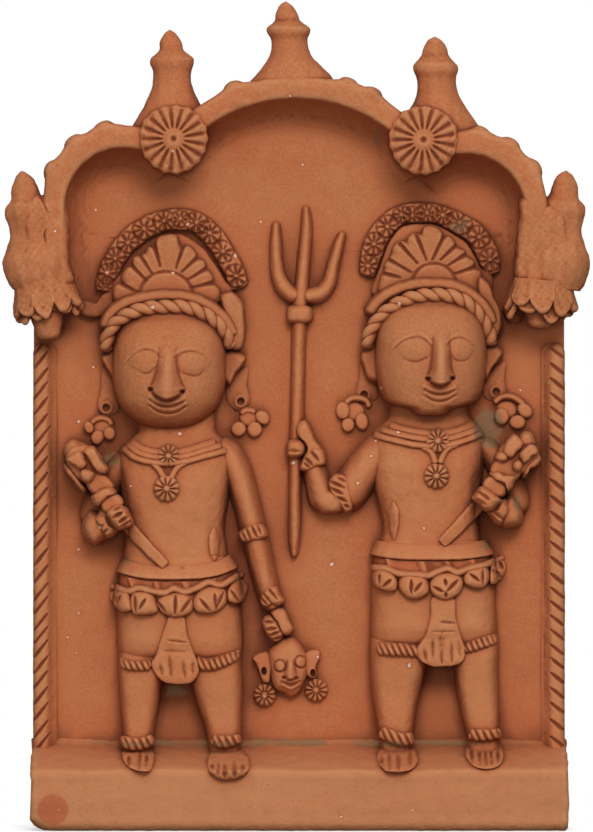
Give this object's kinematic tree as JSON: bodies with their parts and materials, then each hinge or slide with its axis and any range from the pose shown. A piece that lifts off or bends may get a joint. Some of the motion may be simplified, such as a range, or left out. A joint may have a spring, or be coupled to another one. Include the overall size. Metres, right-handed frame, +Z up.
{
  "type": "terracotta plaque",
  "caption": "Terracotta relief plaque of crowned guardian deities with clubs and a trident under a cusped arch, on a ledge plinth with notched borders, bud finials and corner turrets.",
  "frame": {"origin": "middle of the foot's bottom face", "axes": "+X to the viewer's right, +Y back to the wall, +Z up; the front faces -Y"},
  "size_m": [0.291, 0.054, 0.4135],
  "materials": {
    "terracotta": "unglazed, matt, hand smoothed"
  },
  "bodies": {
    "root": {"back_slab": "terracotta", "base_plinth": "terracotta", "border_strips": "terracotta", "arch_band": "terracotta", "arch_lumps": "terracotta", "top_finial": "terracotta", "side_finials": "terracotta", "rosettes": "terracotta", "turrets": "terracotta", "turret_petals": "terracotta", "turret_drops": "terracotta", "left_legs": "terracotta", "left_hips": "terracotta", "left_torso": "terracotta", "left_head": "terracotta", "left_feet": "terracotta", "left_anklets": "terracotta", "left_thigh_garlands": "terracotta", "left_sash": "terracotta", "left_kilt_petals": "terracotta", "left_frill": "terracotta", "left_waistband": "terracotta", "left_ears": "terracotta", "left_earrings": "terracotta", "left_head_roll": "terracotta", "left_head_rope": "terracotta", "left_crown": "terracotta", "left_halo": "terracotta", "left_necklace": "terracotta", "left_medallions": "terracotta", "left_club_arm": "terracotta", "left_club": "terracotta", "left_hanging_arm": "terracotta", "right_legs": "terracotta", "right_hips": "terracotta", "right_torso": "terracotta", "right_head": "terracotta", "right_feet": "terracotta", "right_anklets": "terracotta", "right_thigh_garlands": "terracotta", "right_sash": "terracotta", "right_kilt_petals": "terracotta", "right_frill": "terracotta", "right_waistband": "terracotta", "right_ears": "terracotta", "right_earrings": "terracotta", "right_head_roll": "terracotta", "right_head_rope": "terracotta", "right_crown": "terracotta", "right_halo": "terracotta", "right_necklace": "terracotta", "right_medallions": "terracotta", "right_club_arm": "terracotta", "right_club": "terracotta", "right_raised_arm": "terracotta", "trident": "terracotta", "held_head": "terracotta", "held_head_earrings": "terracotta", "arm_rings": "terracotta", "belt_knives": "terracotta"}
  },
  "joints": []
}
